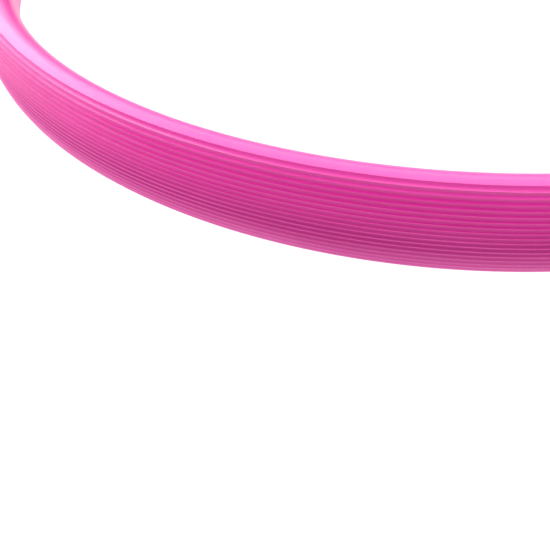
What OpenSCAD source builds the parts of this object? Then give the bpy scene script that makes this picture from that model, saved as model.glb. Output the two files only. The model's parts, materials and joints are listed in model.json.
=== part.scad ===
// Rhythmic gymnastics hoop: one length of hollow, ribbed plastic band bent to a ring.
// The two ends of the band meet over a plug, and blind rivets in the inner wall hold them to it.
// Origin at the centre of the ring, at mid-height. +Z is the hoop's axis.

/* [Hoop] */
// Outside diameter over the ribs
hoop_d = 600; // [500:10:700]
// Height of the band along the hoop's axis
band_h = 44; // [40:0.5:50]
// How far the outer face bulges out from the middle of the band
outer_w = 6.6; // [6:0.2:8]
// How far the inner wall bulges in from the middle of the band
inner_w = 17; // [15:0.5:19]
// Power of the outer face's curve: 2 is an ellipse, and more is squarer
outer_power = 2.1; // [1.9:0.05:2.5]
// Power of the inner wall's curve
inner_power = 2.4; // [2:0.05:2.8]
// Thickness of the band's wall
wall = 1.6; // [1.3:0.1:2]
// Width of the flat land on the upper and lower rims
land_w = 3.2; // [2.8:0.2:5]

/* [Ribs] */
// Number of rib crests on the outer face, the edges of the two lands among them
rib_count = 19; // [13:1:23]
// Depth of the hollow flute between two crests
flute_depth = 0.45; // [0.1:0.05:0.5]

/* [Joint] */
// Direction in which the joint of the band lies, seen from the centre
joint_azimuth = 90; // [0:5:355]
// Gap left between the two ends of the band
end_gap = 0.4; // [0.2:0.1:1]
// Length of the plug along the band
plug_length = 96; // [80:2:120]
// Thickness of the plug's wall
plug_wall = 2.4; // [2:0.1:3]
// Clearance between the plug and the band
plug_clearance = 0.1; // [0.05:0.05:0.2]
// Distance from the joint to the nearer rivet on each side
rivet_near = 14; // [12:1:18]
// Distance between the two rivets on one side
rivet_spacing = 19; // [12:1:20]

/* [Rivets] */
// Diameter of a rivet's shank
rivet_d = 3.2; // [3:0.1:4]
// Diameter of a rivet's head
rivet_head_d = 6.4; // [6:0.2:8]
// Height of a rivet's head
rivet_head_h = 0.9; // [0.6:0.1:1.2]
// Diameter of the mandrel that stays in a rivet
mandrel_d = 1.8; // [1.6:0.1:2]

/* [Hidden] */

band_color = [0.88, 0.25, 0.65];
plug_color = [0.93, 0.93, 0.92];
rivet_color = [0.78, 0.79, 0.81];
mandrel_color = [0.55, 0.56, 0.58];

outer_r = hoop_d / 2;
mid_r = outer_r - outer_w;
inner_r = mid_r - inner_w;
flute_count = rib_count - 1;
flute_steps = 6;
side_steps = 28;
measure_steps = 400;
dome_steps = 6;

// The plug stops short of the band's inside by the clearance.
plug_inset = wall + plug_clearance;
plug_core_inset = plug_inset + plug_wall;
// A thinner nose on each end of the plug leads it into the band.
nose_length = 4;
nose_inset = plug_inset + 0.6;
// A closed wall crosses the plug under the joint.
bridge = 3;

// Rivets, measured along their own axis from the plane of the head's seat
seat_depth = 0.12;
seat_clearance = 0.2;
rivet_grip = wall + plug_clearance + plug_wall - seat_depth;
rivet_tail_d = rivet_d + 1.6;
rivet_tail_h = 2.2;
mandrel_head_d = rivet_d - 0.3;
mandrel_head_h = 1.4;
rivet_places = [
    -rivet_near - rivet_spacing,
    -rivet_near,
    rivet_near,
    rivet_near + rivet_spacing
];

ring_fn = 360;
rivet_fn = 48;

// Angle that a length along the middle of the band takes up
function arc_angle(length) = length / mid_r * 180 / PI;

// The other share of a whole, where the two are joined by a curve of that power
function oval_share(share, power) = (1 - abs(share) ^ power) ^ (1 / power);
// Half of the land, on a side that bulges by w
function half_land(w) = min(land_w / 2, w / 2);
// Height at which such a side would reach the middle, if the land didn't cut it short
function oval_h(w, power, inset) = (band_h / 2 - inset) / oval_share(half_land(w) / w, power);
// Bulge of a side at a height
function side_x(z, w, power, inset) = w * oval_share(z / oval_h(w, power, inset), power);
// Height of the i-th of n points along a side, closer together towards the rims
function side_z(i, n, inset) = (band_h / 2 - inset) * sin(180 * i / n - 90);

// One side of a plain oval, from its lower to its upper land
function plain_side(w, power, inset, steps) = [
    for (i = [0 : steps])
        let (z = side_z(i, steps, inset))
        [side_x(z, w - inset, power, inset), z]
];
function plain_outer(inset) = plain_side(outer_w, outer_power, inset, side_steps);
function plain_inner(inset) = plain_side(inner_w, inner_power, inset, side_steps);

// The outer face without its flutes, as pairs of distance along it and height
smooth_face = plain_side(outer_w, outer_power, 0, measure_steps);
face_z = [
    for (i = 0, run = 0; i <= measure_steps; i = i + 1,
        run = run + (i > measure_steps ? 0 : norm(smooth_face[i] - smooth_face[i - 1])))
        [run, smooth_face[i].y]
];
face_length = face_z[measure_steps].x;

// Direction square to the outer face at one of its points
function face_normal(p) =
    let (
        h = oval_h(outer_w, outer_power, 0),
        across = (p.x / outer_w) ^ (outer_power - 1) / outer_w,
        along = sign(p.y) * (abs(p.y) / h) ^ (outer_power - 1) / h
    )
    [across, along] / norm([across, along]);

// Depth of a flute at a share of the way from one crest to the next
function flute(share) = flute_depth * 4 * share * (1 - share);

// The ribbed outer face, from its lower to its upper land, with crests at equal distances
function ribbed_side() = [
    for (i = [0 : flute_count * flute_steps])
        let (
            z = lookup(face_length * i / (flute_count * flute_steps), face_z),
            p = [side_x(z, outer_w, outer_power, 0), z]
        )
        p - face_normal(p) * flute(i % flute_steps / flute_steps)
];

function reversed(points) = [for (i = [len(points) - 1 : -1 : 0]) points[i]];
function mirrored_x(points) = [for (p = reversed(points)) [-p.x, p.y]];

module oval(inset) {
    polygon(concat(plain_outer(inset), mirrored_x(plain_inner(inset))));
}

module band_outline() {
    polygon(concat(ribbed_side(), mirrored_x(plain_inner(0))));
}

// A section drawn round the middle of the band is swept along part of the ring,
// from one distance along the band to another, counted from the joint.
module sweep(from, to) {
    rotate([0, 0, joint_azimuth + arc_angle(from)])
        rotate_extrude(angle = arc_angle(to - from), $fn = ring_fn)
            translate([mid_r, 0])
                children();
}

// A rivet's own frame: +Z points outwards, and z = 0 is the seat of the head.
module at_rivet(place) {
    rotate([0, 0, joint_azimuth + arc_angle(place)])
        translate([inner_r + seat_depth, 0, 0])
            rotate([0, 90, 0])
                children();
}

module rivet_bores() {
    for (place = rivet_places)
        at_rivet(place)
            translate([0, 0, -1])
                cylinder(d = rivet_d, h = rivet_grip + 2, $fn = rivet_fn);
}

module rivet_seats() {
    for (place = rivet_places)
        at_rivet(place)
            translate([0, 0, -1])
                cylinder(d = rivet_head_d + seat_clearance, h = 1, $fn = rivet_fn);
}

// The ribbed band: hollow all the way round, open only at its two ends
module band() {
    full_length = 2 * PI * mid_r;
    color(band_color)
        difference() {
            sweep(end_gap / 2, full_length - end_gap / 2)
                difference() {
                    band_outline();
                    oval(wall);
                }
            rivet_bores();
            rivet_seats();
        }
}

// The plug: a hollow oval sleeve on each side of a closed bridge, with a nose at each end
module joint_plug() {
    half = plug_length / 2;
    color(plug_color)
        difference() {
            union() {
                sweep(-half + nose_length, half - nose_length)
                    oval(plug_inset);
                sweep(-half, half)
                    oval(nose_inset);
            }
            sweep(bridge / 2, half + 1)
                oval(plug_core_inset);
            sweep(-half - 1, -bridge / 2)
                oval(plug_core_inset);
            rivet_bores();
        }
}

// A set blind rivet: low domed head, hollow shank and the tail that spread inside the plug
module rivet(place) {
    head_r = rivet_head_d / 2;
    bore_r = mandrel_d / 2;
    dome = [
        for (i = [0 : dome_steps])
            let (r = head_r - (head_r - bore_r) * i / dome_steps)
            [r, -rivet_head_h * sqrt(1 - (r / head_r) ^ 2)]
    ];
    tail_mid = rivet_grip + rivet_tail_h / 2;
    color(rivet_color)
        at_rivet(place)
            rotate_extrude($fn = rivet_fn)
                polygon(concat(dome, [
                    [bore_r, rivet_grip + rivet_tail_h],
                    [rivet_d / 2, rivet_grip + rivet_tail_h],
                    [rivet_tail_d / 2, tail_mid],
                    [rivet_tail_d / 2, rivet_grip + 0.3],
                    [rivet_d / 2, rivet_grip],
                    [rivet_d / 2, 0]
                ]));
}

// The part of the mandrel that stays in the rivet: the stem, snapped off inside the rivet's head,
// and the mandrel's own head
module mandrel(place) {
    stem_end = -rivet_head_h / 2;
    tail_end = rivet_grip + rivet_tail_h;
    color(mandrel_color)
        at_rivet(place)
            rotate_extrude($fn = rivet_fn)
                polygon([
                    [0, stem_end],
                    [mandrel_d / 2, stem_end],
                    [mandrel_d / 2, tail_end],
                    [mandrel_head_d / 2, tail_end],
                    [mandrel_head_d / 2, tail_end + mandrel_head_h / 2],
                    [mandrel_head_d / 4, tail_end + mandrel_head_h],
                    [0, tail_end + mandrel_head_h]
                ]);
}

band();
joint_plug();
rivet(rivet_places[0]);  // rivet_1
rivet(rivet_places[1]);  // rivet_2
rivet(rivet_places[2]);  // rivet_3
rivet(rivet_places[3]);  // rivet_4
mandrel(rivet_places[0]);  // mandrel_1
mandrel(rivet_places[1]);  // mandrel_2
mandrel(rivet_places[2]);  // mandrel_3
mandrel(rivet_places[3]);  // mandrel_4
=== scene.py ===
import json
import math
import random

import bmesh
import bpy
import numpy as np
from mathutils import Matrix, Vector


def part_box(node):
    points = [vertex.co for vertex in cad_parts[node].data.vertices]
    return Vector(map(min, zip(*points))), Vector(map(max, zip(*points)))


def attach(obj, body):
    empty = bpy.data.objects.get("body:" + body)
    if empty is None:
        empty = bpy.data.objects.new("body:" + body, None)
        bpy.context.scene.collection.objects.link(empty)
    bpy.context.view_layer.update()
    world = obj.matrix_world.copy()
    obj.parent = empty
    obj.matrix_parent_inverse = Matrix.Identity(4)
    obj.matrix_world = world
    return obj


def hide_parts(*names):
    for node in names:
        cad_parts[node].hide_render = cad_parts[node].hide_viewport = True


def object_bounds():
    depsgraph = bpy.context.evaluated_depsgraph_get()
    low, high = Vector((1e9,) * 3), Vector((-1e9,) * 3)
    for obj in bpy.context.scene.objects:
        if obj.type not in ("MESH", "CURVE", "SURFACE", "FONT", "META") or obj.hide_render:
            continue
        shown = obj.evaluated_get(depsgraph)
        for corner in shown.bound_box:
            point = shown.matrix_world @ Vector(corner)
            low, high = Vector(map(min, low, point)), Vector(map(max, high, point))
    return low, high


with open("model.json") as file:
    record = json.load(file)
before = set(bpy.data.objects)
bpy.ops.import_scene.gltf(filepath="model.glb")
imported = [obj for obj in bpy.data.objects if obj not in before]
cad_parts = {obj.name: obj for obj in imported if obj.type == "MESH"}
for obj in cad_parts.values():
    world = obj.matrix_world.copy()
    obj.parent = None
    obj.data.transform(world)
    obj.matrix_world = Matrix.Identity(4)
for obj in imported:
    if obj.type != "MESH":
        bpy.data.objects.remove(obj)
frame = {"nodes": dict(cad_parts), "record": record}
CAD_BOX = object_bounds()

MM = 0.001
BAND_LOW, BAND_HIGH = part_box("band")

# The band's section, as in the CAD: two curved sides that meet in a flat land on each rim.
# The outer side is ribbed.
HALF_H = (BAND_HIGH.z - BAND_LOW.z) / 2
MID_R = frame["record"]["mounts"][0]["pos_m"][0]
OUTER_W = 6.6 * MM
INNER_W = 17 * MM
OUTER_POWER = 2.1
INNER_POWER = 2.4
HALF_LAND = 1.6 * MM
WALL = 1.6 * MM
RIB_COUNT = 19
FLUTE_COUNT = RIB_COUNT - 1
FLUTE_DEPTH = 0.45 * MM

# The joint of the band lies on +Y
JOINT_AZIMUTH = math.radians(90)
END_GAP = 0.4 * MM
RIVET_COUNT = 4

# Detail of the visible mesh
RING_SEGMENTS = 540
CAVITY_SEGMENTS = 120
INNER_STEPS = 26
MEASURE_POINTS = 801
FLUTE_STEPS = (0, 0.12, 0.31, 0.5, 0.69, 0.88)
WAVINESS = 0.04 * MM
DEPTH_SPREAD = 0.12
END_ROUND = 0.12 * MM
END_ROUND_LENGTH = 0.25 * MM
SHARP_DEGREES = 28
# Where the smooth rims and inner wall stand in the colouring, from crest (0) to mid-flute (1)
PLAIN_GROOVE = 0.2


# ---------------------------------------------------------------- the band's shape

def oval_share(share, power):
    """The other share of a whole, where the two are joined by a curve of that power."""
    return np.maximum(1 - np.abs(share) ** power, 0) ** (1 / power)


def oval_h(w, power, half_h):
    """Height at which a side that bulges by w would reach the middle, if the land didn't cut it short."""
    return half_h / oval_share(min(HALF_LAND, w / 2) / w, power)


def side_x(z, w, power, half_h):
    """Bulge at height z of a side that bulges by w and meets the land at half_h."""
    return w * oval_share(z / oval_h(w, power, half_h), power)


def outer_heights(shares):
    """Heights on the outer face at shares of the way along it, from the lower land to the upper."""
    z = HALF_H * np.sin(np.linspace(-math.pi / 2, math.pi / 2, MEASURE_POINTS))
    x = side_x(z, OUTER_W, OUTER_POWER, HALF_H)
    run = np.concatenate([[0], np.cumsum(np.hypot(np.diff(x), np.diff(z)))])
    return np.interp(shares * run[-1], run, z)


def outer_normals(x, z):
    """Directions square to the outer face at its points, as parts outwards and upwards."""
    h = oval_h(OUTER_W, OUTER_POWER, HALF_H)
    out = (x / OUTER_W) ** (OUTER_POWER - 1) / OUTER_W
    up = np.sign(z) * (np.abs(z) / h) ** (OUTER_POWER - 1) / h
    size = np.hypot(out, up)
    return out / size, up / size


class Section:
    """The points of the band's outline, from the lower land up the outer face and down the inner wall.

    x is the distance from the middle of the band, rib the number of the crest below a point,
    share the place between two crests, and outer says which points lie on the outer face.
    There, out and up give the direction square to the face.
    """

    def __init__(self):
        rib = np.repeat(np.arange(FLUTE_COUNT), len(FLUTE_STEPS))
        share = np.tile(FLUTE_STEPS, FLUTE_COUNT)
        rib, share = np.append(rib, FLUTE_COUNT), np.append(share, 0)
        outer_z = outer_heights((rib + share) / FLUTE_COUNT)
        outer_x = side_x(outer_z, OUTER_W, OUTER_POWER, HALF_H)
        inner_z = HALF_H * np.cos(math.pi * np.arange(INNER_STEPS + 1) / INNER_STEPS)
        inner_x = -side_x(inner_z, INNER_W, INNER_POWER, HALF_H)
        blank = np.zeros(len(inner_z))
        self.x = np.concatenate([outer_x, inner_x])
        self.z = np.concatenate([outer_z, inner_z])
        self.rib = np.concatenate([rib, blank]).astype(int)
        self.share = np.concatenate([share, blank])
        self.outer = np.arange(len(self.x)) < len(outer_x)
        self.out, self.up = outer_normals(np.maximum(self.x, 0), self.z)


def wander(rng, lowest, highest):
    """A smooth function of the angle round the ring that wanders within about -1 to 1."""
    waves = [(k, rng.uniform(0, math.tau), rng.uniform(0.5, 1) * (lowest / k) ** 0.6)
             for k in range(lowest, highest)]
    size = math.sqrt(sum(a * a for _, _, a in waves))

    def value(angle):
        return sum(a * np.sin(k * angle + phase) for k, phase, a in waves) / size
    return value


def ribbed_ring(section, angles):
    """Radius and height of every section point at every angle, slightly uneven as a real extrusion is."""
    rng = random.Random(11)
    common = wander(rng, 5, 40)(angles)
    drift = [wander(rng, 7, 60)(angles) for _ in range(RIB_COUNT)]
    depth = [wander(rng, 3, 30)(angles) for _ in range(RIB_COUNT)]
    r = np.tile(MID_R + section.x, (len(angles), 1))
    z = np.tile(section.z, (len(angles), 1))
    for i in np.flatnonzero(section.outer):
        rib, share = section.rib[i], section.share[i]
        above = min(rib + 1, RIB_COUNT - 1)
        fade = 1 - (abs(section.z[i]) / HALF_H) ** 4
        slide = WAVINESS * fade * (common + (1 - share) * drift[rib] + share * drift[above])
        cut = FLUTE_DEPTH * 4 * share * (1 - share) * (1 + DEPTH_SPREAD * depth[rib])
        r[:, i] -= section.out[i] * cut + section.up[i] * slide
        z[:, i] += section.out[i] * slide - section.up[i] * cut
    return r, z


def cavity_outline(section):
    """The hollow inside of the band: one point behind every point of the outline."""
    inside_h = HALF_H - WALL
    z = section.z * inside_h / HALF_H
    outer = side_x(z, OUTER_W - WALL, OUTER_POWER, inside_h)
    inner = side_x(z, INNER_W - WALL, INNER_POWER, inside_h)
    return MID_R + np.where(section.outer, outer, -inner), z


def ring_points(angles, r, z):
    """Points in space, turn by turn."""
    cos, sin = np.cos(angles)[:, None], np.sin(angles)[:, None]
    return np.stack([r * cos, r * sin, z + 0 * r], -1)


def tube_faces(first, turns, count, flip):
    """Quads between neighbouring turns of a tube whose points start at first."""
    i, j = np.meshgrid(np.arange(count), np.arange(turns - 1))
    here, up = first + j * count + i, first + j * count + (i + 1) % count
    quads = np.stack([here, here + count, up + count, up], -1).reshape(-1, 4)
    return quads[:, ::-1] if flip else quads


def cap_faces(skin, cavity, count, flip):
    """Quads between the outline and the cavity at one end of the band."""
    i = np.arange(count)
    n = (i + 1) % count
    quads = np.stack([skin + i, skin + n, cavity + n, cavity + i], -1)
    return quads[:, ::-1] if flip else quads


def mesh_object(name, points, faces):
    mesh = bpy.data.meshes.new(name)
    mesh.from_pydata([tuple(p) for p in points], [], [tuple(f) for f in faces])
    mesh.update()
    obj = bpy.data.objects.new(name, mesh)
    bpy.context.scene.collection.objects.link(obj)
    return obj


def set_smooth(obj, sharp_degrees):
    """Smooth shading, with edges sharper than the angle left sharp."""
    for polygon in obj.data.polygons:
        polygon.use_smooth = True
    obj.data.set_sharp_from_angle(angle=math.radians(sharp_degrees))


def end_angles():
    """Angles from one cut end of the band to the other, with two close turns at each end."""
    gap = END_GAP / 2 / MID_R
    edge = END_ROUND_LENGTH / MID_R
    start, stop = JOINT_AZIMUTH + gap, JOINT_AZIMUTH + math.tau - gap
    middle = np.linspace(start + edge, stop - edge, RING_SEGMENTS + 1)
    return np.concatenate([[start], middle, [stop]])


def make_band():
    section = Section()
    angles = end_angles()
    r, z = ribbed_ring(section, angles)
    for turn in (0, -1):
        r[turn] -= END_ROUND * np.sign(section.x)
    count, turns = len(section.x), len(angles)
    skin = ring_points(angles, r, z)
    cavity_r, cavity_z = cavity_outline(section)
    cavity_angles = np.linspace(angles[0], angles[-1], CAVITY_SEGMENTS + 1)
    cavity = ring_points(cavity_angles, np.tile(cavity_r, (len(cavity_angles), 1)), cavity_z[None, :])
    first = turns * count
    last_turn, last_cavity = (turns - 1) * count, first + CAVITY_SEGMENTS * count
    faces = np.concatenate([
        tube_faces(0, turns, count, False),
        tube_faces(first, len(cavity_angles), count, True),
        cap_faces(0, first, count, False),
        cap_faces(last_turn, last_cavity, count, True),
    ])
    points = np.concatenate([skin.reshape(-1, 3), cavity.reshape(-1, 3)])
    band = mesh_object("ribbed_band", points, faces)
    groove = np.where(section.outer, 2 * np.minimum(section.share, 1 - section.share), PLAIN_GROOVE)
    values = np.zeros(len(points), np.float32)
    values[:first] = np.tile(groove, turns)
    attribute = band.data.attributes.new("groove", "FLOAT", "POINT")
    attribute.data.foreach_set("value", values)
    set_smooth(band, SHARP_DEGREES)
    return band


# ---------------------------------------------------------------- node helpers

def new_material(name):
    material = bpy.data.materials.new(name)
    material.use_nodes = True
    tree = material.node_tree
    shader = tree.nodes["Principled BSDF"]
    return material, tree, shader


def add(tree, kind, **settings):
    node = tree.nodes.new(kind)
    for key, value in settings.items():
        setattr(node, key, value)
    return node


def plug_in(tree, socket, value):
    if isinstance(value, bpy.types.NodeSocket):
        tree.links.new(value, socket)
    else:
        socket.default_value = value


def math_node(tree, operation, a, b):
    node = add(tree, "ShaderNodeMath", operation=operation)
    plug_in(tree, node.inputs[0], a)
    plug_in(tree, node.inputs[1], b)
    return node.outputs[0]


def noise(tree, vector, scale, detail=2.0, rough=0.5, w=None):
    node = add(tree, "ShaderNodeTexNoise", noise_dimensions="3D" if w is None else "4D")
    tree.links.new(vector, node.inputs["Vector"])
    if w is not None:
        tree.links.new(w, node.inputs["W"])
    node.inputs["Scale"].default_value = scale
    node.inputs["Detail"].default_value = detail
    node.inputs["Roughness"].default_value = rough
    return node.outputs["Fac"]


def ramp(tree, value, low, high, from_value=0.0, to_value=1.0):
    """Maps value from low..high to from_value..to_value, held at the ends."""
    node = add(tree, "ShaderNodeMapRange", clamp=True)
    for name, v in (("Value", value), ("From Min", low), ("From Max", high),
                    ("To Min", from_value), ("To Max", to_value)):
        plug_in(tree, node.inputs[name], v)
    return node.outputs["Result"]


def mix_colors(tree, share, a, b):
    node = add(tree, "ShaderNodeMix", data_type="RGBA")
    plug_in(tree, node.inputs["Factor"], share)
    plug_in(tree, node.inputs["A"], a)
    plug_in(tree, node.inputs["B"], b)
    return node.outputs["Result"]


def bump(tree, height, distance, below=None):
    node = add(tree, "ShaderNodeBump")
    node.inputs["Strength"].default_value = 1.0
    node.inputs["Distance"].default_value = distance
    tree.links.new(height, node.inputs["Height"])
    if below is not None:
        tree.links.new(below, node.inputs["Normal"])
    return node.outputs["Normal"]


STREAK_SQUEEZE = 0.012


def ring_coordinates(tree):
    """Object coordinates, the same squeezed so that a texture runs in streaks round the ring,
    and the radius and height of the place."""
    place = add(tree, "ShaderNodeTexCoord").outputs["Object"]
    split = add(tree, "ShaderNodeSeparateXYZ")
    tree.links.new(place, split.inputs[0])
    x, y, z = split.outputs
    square = math_node(tree, "ADD", math_node(tree, "MULTIPLY", x, x), math_node(tree, "MULTIPLY", y, y))
    radius = math_node(tree, "SQRT", square, 0.0)
    join = add(tree, "ShaderNodeCombineXYZ")
    tree.links.new(math_node(tree, "MULTIPLY", x, STREAK_SQUEEZE), join.inputs[0])
    tree.links.new(math_node(tree, "MULTIPLY", y, STREAK_SQUEEZE), join.inputs[1])
    tree.links.new(z, join.inputs[2])
    return place, join.outputs[0], radius, z


# ---------------------------------------------------------------- materials

BAND_PINK = (0.85, 0.028, 0.365, 1)
BAND_CLOUD = (0.81, 0.024, 0.345, 1)
# Painted shade: the colour the flutes are darkened towards
BAND_PAINTED_SHADE = (0.56, 0.006, 0.235, 1)
# Painted highlight: the paler colour put on the crests and the rims
BAND_PAINTED_HIGHLIGHT = (0.96, 0.22, 0.62, 1)


def band_plastic():
    """Glossy extruded polyethylene with faint die lines and mottling.

    The rims are painted paler as a highlight. In the lower half the flutes are painted darker as shade,
    and the crests paler as a highlight.
    """
    material, tree, shader = new_material("band_plastic")
    place, streak, radius, height = ring_coordinates(tree)
    wide_radius = math_node(tree, "MULTIPLY", radius, 900)
    die_lines = noise(tree, streak, 900, 3, 0.6, w=wide_radius)
    cloud = noise(tree, place, 14, 3, 0.55)
    grain = noise(tree, place, 2600, 2, 0.6)
    tone = mix_colors(tree, ramp(tree, cloud, 0.3, 0.7), BAND_PINK, BAND_CLOUD)

    groove = add(tree, "ShaderNodeAttribute", attribute_name="groove").outputs["Fac"]
    # Painted shade: the flutes are darkened, most in the lower half of the band and less towards the
    # bottom rim.
    in_flute = ramp(tree, groove, 0.1, 0.6)
    flute_painted_shade = math_node(tree, "MULTIPLY", in_flute, ramp(tree, height, 6 * MM, -5 * MM, 0.08, 1))
    flute_painted_shade = math_node(tree, "MULTIPLY", flute_painted_shade, ramp(tree, height, -9 * MM, -18 * MM, 1, 0.4))
    tone = mix_colors(tree, flute_painted_shade, tone, BAND_PAINTED_SHADE)

    # Painted highlight: the crests are painted paler, streaked by the die lines, mostly in the lower half
    # of the band.
    on_crest = ramp(tree, groove, 0.24, 0.0)
    crest_painted_highlight = math_node(tree, "MULTIPLY", on_crest, ramp(tree, die_lines, 0.35, 0.6, 0.5, 1))
    crest_painted_highlight = math_node(tree, "MULTIPLY", crest_painted_highlight, ramp(tree, height, 4 * MM, -5 * MM, 0.05, 1))
    tone = mix_colors(tree, math_node(tree, "MULTIPLY", crest_painted_highlight, 0.95), tone, BAND_PAINTED_HIGHLIGHT)

    # Painted highlight: both rims are painted paler in blotches, the lower rim more strongly.
    near_lower_rim = ramp(tree, height, -9 * MM, -20 * MM)
    near_upper_rim = ramp(tree, height, 15.5 * MM, 20 * MM, 0, 0.6)
    near_rim = math_node(tree, "MAXIMUM", near_lower_rim, near_upper_rim)
    rim_painted_highlight = math_node(tree, "MULTIPLY", near_rim, ramp(tree, cloud, 0.2, 0.6, 0.2, 0.36))
    tone = mix_colors(tree, rim_painted_highlight, tone, BAND_PAINTED_HIGHLIGHT)

    tree.links.new(tone, shader.inputs["Base Color"])
    rough = ramp(tree, die_lines, 0.3, 0.7, 0.25, 0.32)
    rough = math_node(tree, "ADD", rough, math_node(tree, "MULTIPLY", flute_painted_shade, 0.3))
    tree.links.new(rough, shader.inputs["Roughness"])
    shader.inputs["Specular IOR Level"].default_value = 0.38
    lines = bump(tree, die_lines, 0.02 * MM)
    tree.links.new(bump(tree, grain, 0.006 * MM, below=lines), shader.inputs["Normal"])
    return material


def plug_plastic():
    """Off-white moulded polypropylene with a fine sparked texture."""
    material, tree, shader = new_material("plug_plastic")
    place = add(tree, "ShaderNodeTexCoord").outputs["Object"]
    spark = noise(tree, place, 1800, 3, 0.6)
    cloud = noise(tree, place, 40, 2, 0.5)
    tone = mix_colors(tree, ramp(tree, cloud, 0.3, 0.7), (0.80, 0.79, 0.76, 1), (0.74, 0.73, 0.70, 1))
    tree.links.new(tone, shader.inputs["Base Color"])
    tree.links.new(ramp(tree, spark, 0.3, 0.7, 0.5, 0.65), shader.inputs["Roughness"])
    tree.links.new(bump(tree, spark, 0.03 * MM), shader.inputs["Normal"])
    return material


def rivet_aluminium():
    """Tumbled aluminium with soft pits and a dull bloom."""
    material, tree, shader = new_material("rivet_aluminium")
    place = add(tree, "ShaderNodeTexCoord").outputs["Object"]
    pits = noise(tree, place, 1500, 3, 0.6)
    bloom = noise(tree, place, 500, 2, 0.5)
    tone = mix_colors(tree, ramp(tree, bloom, 0.35, 0.7), (0.80, 0.81, 0.83, 1), (0.66, 0.67, 0.69, 1))
    tree.links.new(tone, shader.inputs["Base Color"])
    shader.inputs["Metallic"].default_value = 1.0
    tree.links.new(ramp(tree, bloom, 0.3, 0.7, 0.28, 0.42), shader.inputs["Roughness"])
    tree.links.new(bump(tree, pits, 0.02 * MM), shader.inputs["Normal"])
    return material


def mandrel_steel():
    """Zinc-plated steel with a torn, grainy end where the mandrel snapped."""
    material, tree, shader = new_material("mandrel_steel")
    place = add(tree, "ShaderNodeTexCoord").outputs["Object"]
    torn = noise(tree, place, 3500, 4, 0.7)
    tone = mix_colors(tree, ramp(tree, torn, 0.35, 0.65), (0.30, 0.31, 0.33, 1), (0.55, 0.56, 0.58, 1))
    tree.links.new(tone, shader.inputs["Base Color"])
    shader.inputs["Metallic"].default_value = 1.0
    tree.links.new(ramp(tree, torn, 0.3, 0.7, 0.35, 0.55), shader.inputs["Roughness"])
    tree.links.new(bump(tree, torn, 0.06 * MM), shader.inputs["Normal"])
    return material


def studio_white():
    """Plain white lit from within, so that it stays even and casts its light up at the hoop."""
    material, _, shader = new_material("floor_white")
    shader.inputs["Base Color"].default_value = (0.08, 0.08, 0.08, 1)
    shader.inputs["Roughness"].default_value = 0.9
    shader.inputs["Specular IOR Level"].default_value = 0.0
    shader.inputs["Emission Color"].default_value = (1, 1, 1, 1)
    shader.inputs["Emission Strength"].default_value = 1.12
    return material


# ---------------------------------------------------------------- stage, lights, camera

FLOOR_HALF = 6.0
DOME_RADIUS = 9.0


def make_floor(material):
    half = FLOOR_HALF
    corners = [(-half, -half, 0), (half, -half, 0), (half, half, 0), (-half, half, 0)]
    floor = mesh_object("studio_floor", corners, [(0, 1, 2, 3)])
    floor.location.z = CAD_BOX[0].z
    floor.data.materials.append(material)


def make_backdrop(material):
    """A white dome round the studio. It is only seen, and neither lights nor shades anything."""
    form = bmesh.new()
    bmesh.ops.create_uvsphere(form, u_segments=48, v_segments=24, radius=DOME_RADIUS)
    mesh = bpy.data.meshes.new("studio_backdrop")
    form.to_mesh(mesh)
    form.free()
    dome = bpy.data.objects.new("studio_backdrop", mesh)
    bpy.context.scene.collection.objects.link(dome)
    dome.data.materials.append(material)
    dome.visible_diffuse = False
    dome.visible_glossy = False
    dome.visible_transmission = False
    dome.visible_shadow = False


def make_world():
    world = bpy.data.worlds.new("studio")
    bpy.context.scene.world = world
    world.use_nodes = True
    background = world.node_tree.nodes["Background"]
    background.inputs["Color"].default_value = (1, 1, 1, 1)
    background.inputs["Strength"].default_value = 0.14


def area_light(name, location, target, size, power):
    light = bpy.data.lights.new(name, "AREA")
    light.shape = "RECTANGLE"
    light.size, light.size_y = size
    light.energy = power
    obj = bpy.data.objects.new(name, light)
    bpy.context.scene.collection.objects.link(obj)
    obj.location = location
    obj.rotation_euler = (Vector(target) - Vector(location)).to_track_quat("-Z", "Y").to_euler()
    return obj


# Softboxes: name, place, width and height, and the brightness of its face
SOFTBOXES = [
    ("overhead", (0, -0.3, 2.0), (1.2, 1.2), 2.2),
    ("top_left", (-1.3, 0, 1.5), (1.2, 1.2), 5.8),
    ("top_right", (1.3, 0, 1.5), (1.2, 1.2), 6.6),
    ("left", (-2.3, 0, 0.8), (1.6, 1.2), 3.0),
    ("front_left", (-1.5, -1.6, 1.5), (1.2, 1.2), 0.5),
]
# Softboxes that only put a sheen on the rim
SHEEN_BOXES = [
    ("back", (0, 2.2, 1.1), (2.6, 1.2), 2.9),
    ("back_left", (-1.8, 1.6, 0.9), (1.6, 1.2), 5.0),
    ("rear_overhead", (0, 0.6, 2.0), (1.6, 1.0), 4.0),
]


def make_lights():
    for boxes, lights_colour in ((SOFTBOXES, True), (SHEEN_BOXES, False)):
        for name, place, size, brightness in boxes:
            power = math.pi * size[0] * size[1] * brightness
            light = area_light(name, place, (0, 0, 0), size, power)
            light.visible_diffuse = lights_colour


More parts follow.
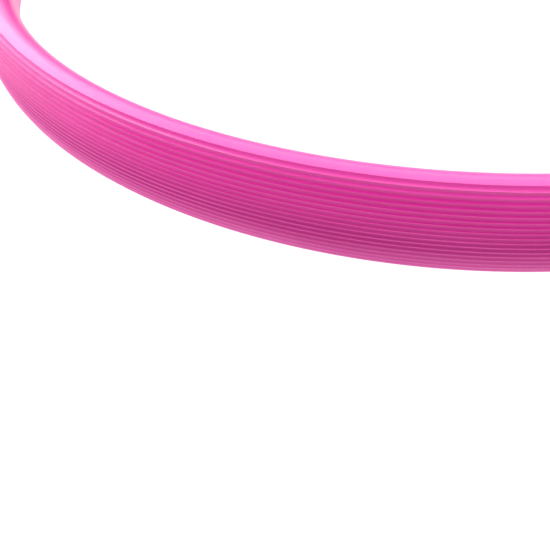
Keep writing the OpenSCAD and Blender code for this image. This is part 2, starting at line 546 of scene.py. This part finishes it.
# The camera looks along +Y and down at the ring's centre. Then it pans to the left, tilts further down
# and rolls a little.
CAMERA_DISTANCE = 1.86732 * (MID_R + OUTER_W)
CAMERA_ELEVATION = math.radians(20.0053)
CAMERA_PAN = math.radians(-10.1244)
CAMERA_TILT = math.radians(-24.3134)
CAMERA_ROLL = math.radians(2.8913)
CAMERA_LENS = 48.818


def make_camera():
    right = Vector((1, 0, 0))
    forward = Vector((0, math.cos(CAMERA_ELEVATION), -math.sin(CAMERA_ELEVATION)))
    place = -forward * CAMERA_DISTANCE
    up = right.cross(forward)
    forward, right = (forward * math.cos(CAMERA_PAN) + right * math.sin(CAMERA_PAN),
                      right * math.cos(CAMERA_PAN) - forward * math.sin(CAMERA_PAN))
    forward, up = (forward * math.cos(CAMERA_TILT) + up * math.sin(CAMERA_TILT),
                   up * math.cos(CAMERA_TILT) - forward * math.sin(CAMERA_TILT))
    right, up = (right * math.cos(CAMERA_ROLL) + up * math.sin(CAMERA_ROLL),
                 up * math.cos(CAMERA_ROLL) - right * math.sin(CAMERA_ROLL))
    data = bpy.data.cameras.new("photo_view")
    data.lens = CAMERA_LENS
    data.sensor_width = 36.0
    camera = bpy.data.objects.new("photo_view", data)
    bpy.context.scene.collection.objects.link(camera)
    turn = Matrix((right, up, -forward)).transposed().to_4x4()
    camera.matrix_world = Matrix.Translation(place) @ turn
    bpy.context.scene.camera = camera


# ---------------------------------------------------------------- assembly

def finish_cad_node(name, material):
    node = frame["nodes"][name]
    node.data.materials.clear()
    node.data.materials.append(material)
    for polygon in node.data.polygons:
        polygon.material_index = 0


def main():
    make_camera()
    make_world()
    make_lights()
    white = studio_white()
    make_floor(white)
    make_backdrop(white)
    bpy.context.scene.view_settings.view_transform = "Standard"

    band = make_band()
    band.data.materials.append(band_plastic())
    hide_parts("band")
    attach(band, "root")

    finish_cad_node("joint_plug", plug_plastic())
    aluminium, steel = rivet_aluminium(), mandrel_steel()
    for number in range(1, RIVET_COUNT + 1):
        finish_cad_node(f"rivet_{number}", aluminium)
        finish_cad_node(f"mandrel_{number}", steel)


main()
